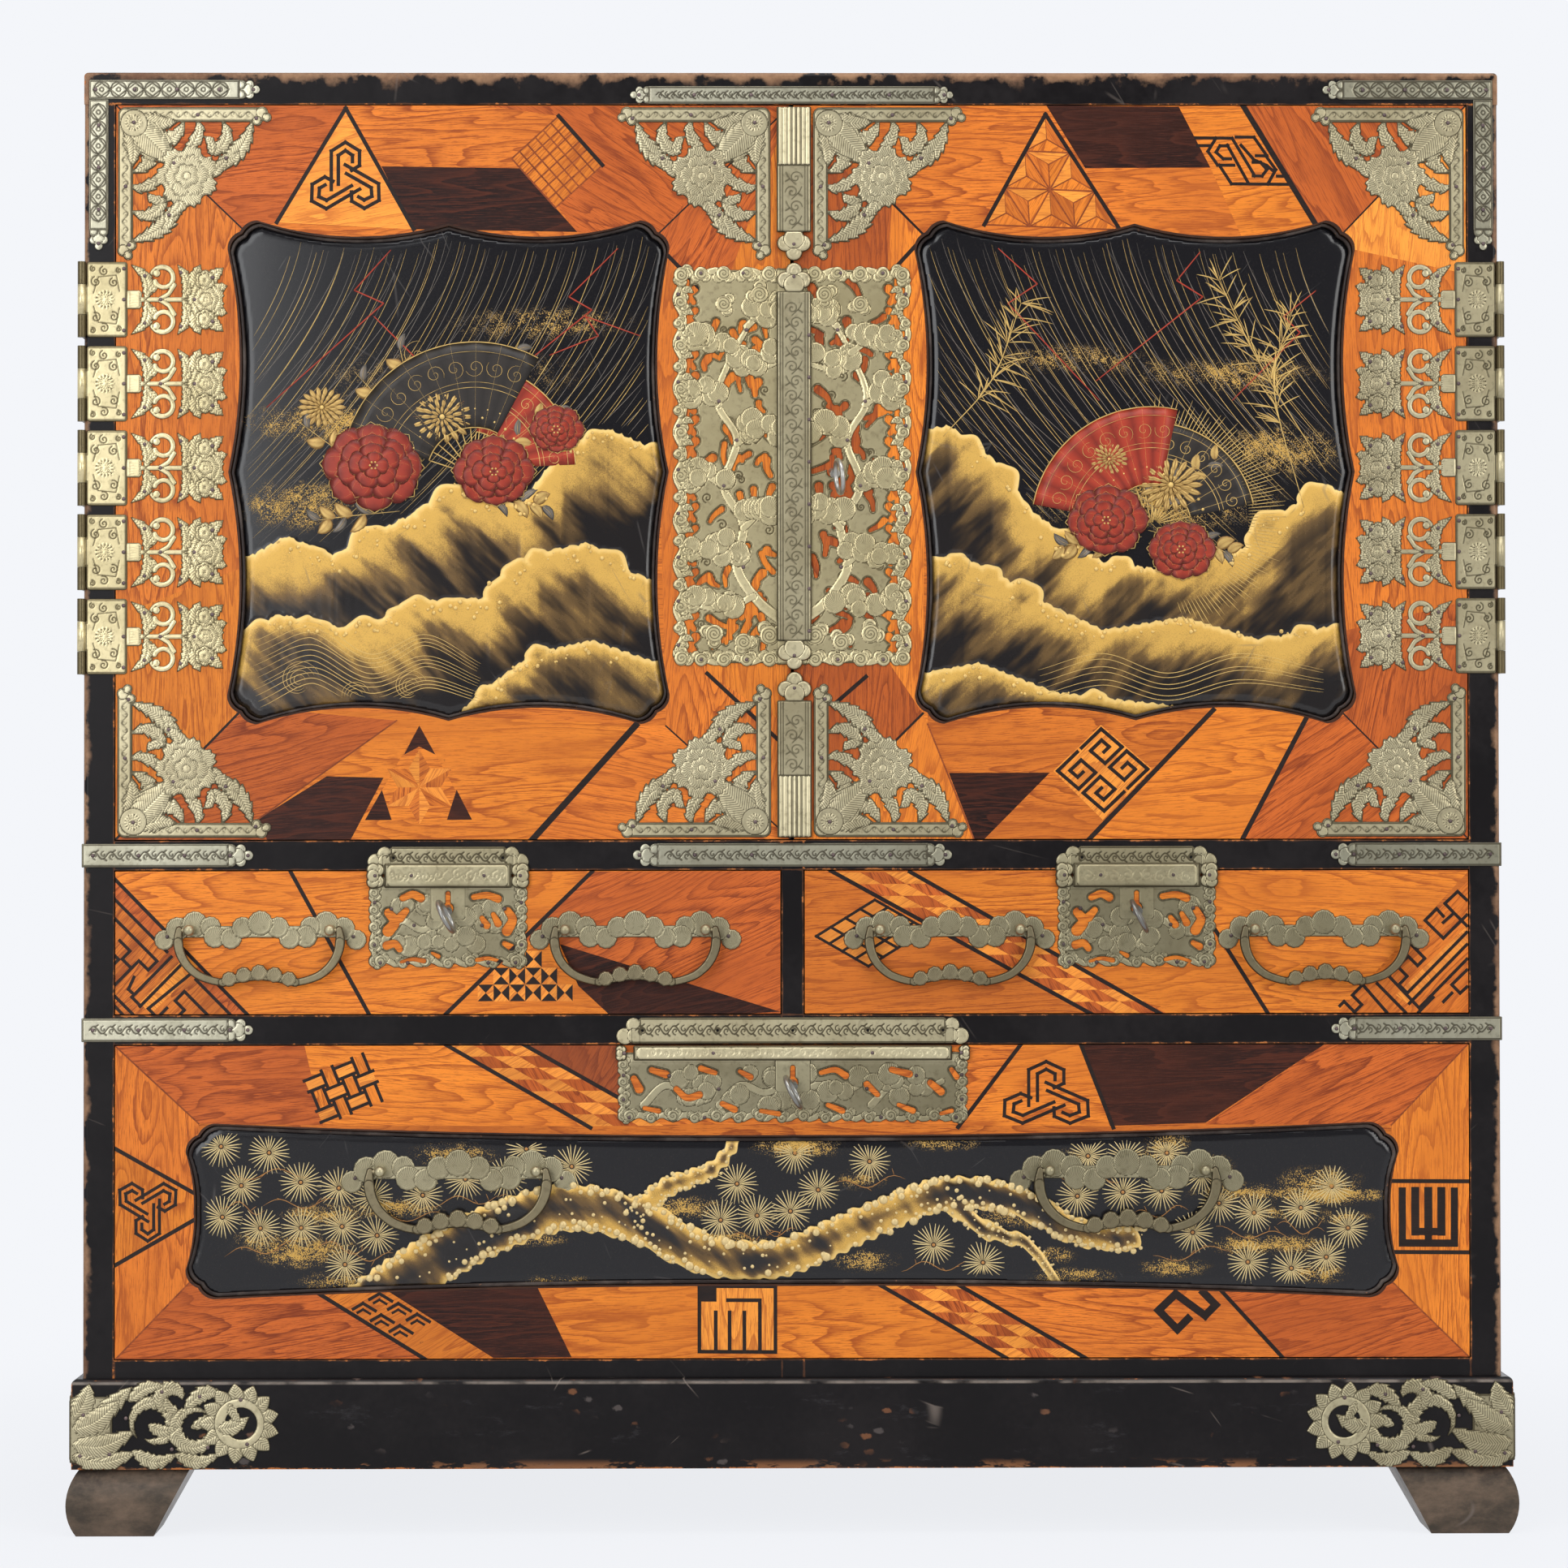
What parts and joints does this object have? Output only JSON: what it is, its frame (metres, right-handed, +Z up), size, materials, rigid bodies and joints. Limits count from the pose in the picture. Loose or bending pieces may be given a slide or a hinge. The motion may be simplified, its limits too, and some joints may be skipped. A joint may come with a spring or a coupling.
{
  "type": "lacquered and inlaid cabinet chest",
  "caption": "Wide cabinet on a low footed stand: a pair of doors above small and long drawers, with inlaid fronts, lacquer panels, pierced metal mounts, bail pulls and keyed locks.",
  "frame": {"origin": "centre of the footprint on the floor, at the undersides of the feet", "axes": "+X to the viewer's right, -Y out of the front, +Z up"},
  "size_m": [0.888, 0.4607, 0.898],
  "materials": {
    "black_lacquer": "worn black lacquer",
    "inner_wood": "planed and unfinished",
    "inlaid_wood": "inlaid veneers, lacquered",
    "gold_lacquer": "gloss black lacquer with raised gold",
    "pale_brass": "engraved, silvery and dull",
    "bail_brass": "dark and rubbed",
    "nail_brass": "dark domed heads",
    "lock_steel": "filed",
    "key_steel": "polished"
  },
  "bodies": {
    "case": {"case_sides": "black_lacquer", "case_top": "black_lacquer", "case_bottom": "black_lacquer", "case_back": "inner_wood", "front_rails": "black_lacquer", "drawer_divider": "black_lacquer", "dust_boards": "inner_wood", "inner_shelf": "inner_wood", "stand_frame": "black_lacquer", "stand_feet": "black_lacquer", "case_mounts": "pale_brass", "stand_mounts": "pale_brass", "lock_keepers": "pale_brass", "hinge_side_leaves": "pale_brass", "hinge_pins": "lock_steel", "case_nails": "nail_brass"},
    "left_door": {"left_door_frame": "inlaid_wood", "left_door_panel": "gold_lacquer", "left_door_lip": "black_lacquer", "left_door_mounts": "pale_brass", "left_door_hinges": "pale_brass", "left_door_nails": "nail_brass"},
    "right_door": {"right_door_frame": "inlaid_wood", "right_door_panel": "gold_lacquer", "right_door_lip": "black_lacquer", "right_door_mounts": "pale_brass", "right_door_hinges": "pale_brass", "right_door_nails": "nail_brass", "meeting_strips": "pale_brass", "door_lock_case": "lock_steel"},
    "door_bolt": {"door_bolt": "lock_steel"},
    "door_key": {"door_key": "key_steel"},
    "left_drawer": {"left_drawer_front": "inlaid_wood", "left_drawer_box": "inner_wood", "left_drawer_mounts": "pale_brass", "left_drawer_lock_case": "lock_steel"},
    "left_drawer_bolt": {"left_drawer_bolt": "lock_steel"},
    "left_drawer_key": {"left_drawer_key": "key_steel"},
    "left_drawer_left_bail": {"left_drawer_left_bail": "bail_brass"},
    "left_drawer_right_bail": {"left_drawer_right_bail": "bail_brass"},
    "right_drawer": {"right_drawer_front": "inlaid_wood", "right_drawer_box": "inner_wood", "right_drawer_mounts": "pale_brass", "right_drawer_lock_case": "lock_steel"},
    "right_drawer_bolt": {"right_drawer_bolt": "lock_steel"},
    "right_drawer_key": {"right_drawer_key": "key_steel"},
    "right_drawer_left_bail": {"right_drawer_left_bail": "bail_brass"},
    "right_drawer_right_bail": {"right_drawer_right_bail": "bail_brass"},
    "long_drawer": {"long_drawer_front": "inlaid_wood", "long_drawer_box": "inner_wood", "long_drawer_mounts": "pale_brass", "long_drawer_lock_case": "lock_steel", "long_drawer_panel": "gold_lacquer"},
    "long_drawer_bolt": {"long_drawer_bolt": "lock_steel"},
    "long_drawer_key": {"long_drawer_key": "key_steel"},
    "long_drawer_left_bail": {"long_drawer_left_bail": "bail_brass"},
    "long_drawer_right_bail": {"long_drawer_right_bail": "bail_brass"}
  },
  "joints": [
    {"name": "right_door_hinge", "type": "hinge", "parent": "case", "child": "right_door", "pos_m": [0.4362, -0.2001, 0.6515], "axis": [0, 0, 1], "range_deg": [0, 250]},
    {"name": "left_door_hinge", "type": "hinge", "parent": "case", "child": "left_door", "pos_m": [-0.4362, -0.2001, 0.6515], "axis": [0, 0, -1], "range_deg": [0, 250]},
    {"name": "door_key_turn", "type": "hinge", "parent": "right_door", "child": "door_key", "pos_m": [0.0215, -0.1847, 0.6555], "axis": [0.2017, -0.9491, -0.2419], "range_deg": [0, 90]},
    {"name": "door_bolt_throw", "type": "slide", "parent": "right_door", "child": "door_bolt", "axis": [-1, 0, 0], "range_m": [0, 0.0055]},
    {"name": "left_drawer_slide", "type": "slide", "parent": "case", "child": "left_drawer", "axis": [0, -1, 0], "range_m": [0, 0.32]},
    {"name": "left_drawer_key_turn", "type": "hinge", "parent": "left_drawer", "child": "left_drawer_key", "pos_m": [-0.21138, -0.1847, 0.387], "axis": [0, -0.9703, -0.2419], "range_deg": [0, 90]},
    {"name": "left_drawer_bolt_throw", "type": "slide", "parent": "left_drawer", "child": "left_drawer_bolt", "axis": [0, 0, 1], "range_m": [0, 0.0055]},
    {"name": "left_drawer_left_bail_lift", "type": "hinge", "parent": "left_drawer", "child": "left_drawer_left_bail", "pos_m": [-0.32638, -0.2067, 0.3702], "axis": [-1, 0, 0], "range_deg": [-6, 165]},
    {"name": "left_drawer_right_bail_lift", "type": "hinge", "parent": "left_drawer", "child": "left_drawer_right_bail", "pos_m": [-0.09638, -0.2067, 0.3702], "axis": [-1, 0, 0], "range_deg": [-6, 165]},
    {"name": "right_drawer_slide", "type": "slide", "parent": "case", "child": "right_drawer", "axis": [0, -1, 0], "range_m": [0, 0.32]},
    {"name": "right_drawer_key_turn", "type": "hinge", "parent": "right_drawer", "child": "right_drawer_key", "pos_m": [0.21138, -0.1847, 0.387], "axis": [0, -0.9703, -0.2419], "range_deg": [0, 90]},
    {"name": "right_drawer_bolt_throw", "type": "slide", "parent": "right_drawer", "child": "right_drawer_bolt", "axis": [0, 0, 1], "range_m": [0, 0.0055]},
    {"name": "right_drawer_left_bail_lift", "type": "hinge", "parent": "right_drawer", "child": "right_drawer_left_bail", "pos_m": [0.09638, -0.2067, 0.3702], "axis": [-1, 0, 0], "range_deg": [-6, 165]},
    {"name": "right_drawer_right_bail_lift", "type": "hinge", "parent": "right_drawer", "child": "right_drawer_right_bail", "pos_m": [0.32638, -0.2067, 0.3702], "axis": [-1, 0, 0], "range_deg": [-6, 165]},
    {"name": "long_drawer_slide", "type": "slide", "parent": "case", "child": "long_drawer", "axis": [0, -1, 0], "range_m": [0, 0.32]},
    {"name": "long_drawer_key_turn", "type": "hinge", "parent": "long_drawer", "child": "long_drawer_key", "pos_m": [0, -0.1847, 0.28], "axis": [0, -0.9703, -0.2419], "range_deg": [0, 90]},
    {"name": "long_drawer_bolt_throw", "type": "slide", "parent": "long_drawer", "child": "long_drawer_bolt", "axis": [0, 0, 1], "range_m": [0, 0.0055]},
    {"name": "long_drawer_left_bail_lift", "type": "hinge", "parent": "long_drawer", "child": "long_drawer_left_bail", "pos_m": [-0.205, -0.2057, 0.2225], "axis": [-1, 0, 0], "range_deg": [-6, 165]},
    {"name": "long_drawer_right_bail_lift", "type": "hinge", "parent": "long_drawer", "child": "long_drawer_right_bail", "pos_m": [0.205, -0.2057, 0.2225], "axis": [-1, 0, 0], "range_deg": [-6, 165]}
  ],
  "couplings": [
    {"joint": "left_door_hinge", "follows": "right_door_hinge", "ratio": 1},
    {"joint": "door_bolt_throw", "follows": "door_key_turn", "m_per_rad": 0.0035011},
    {"joint": "left_drawer_bolt_throw", "follows": "left_drawer_key_turn", "m_per_rad": 0.0035011},
    {"joint": "right_drawer_bolt_throw", "follows": "right_drawer_key_turn", "m_per_rad": 0.0035011},
    {"joint": "long_drawer_bolt_throw", "follows": "long_drawer_key_turn", "m_per_rad": 0.0035011}
  ]
}
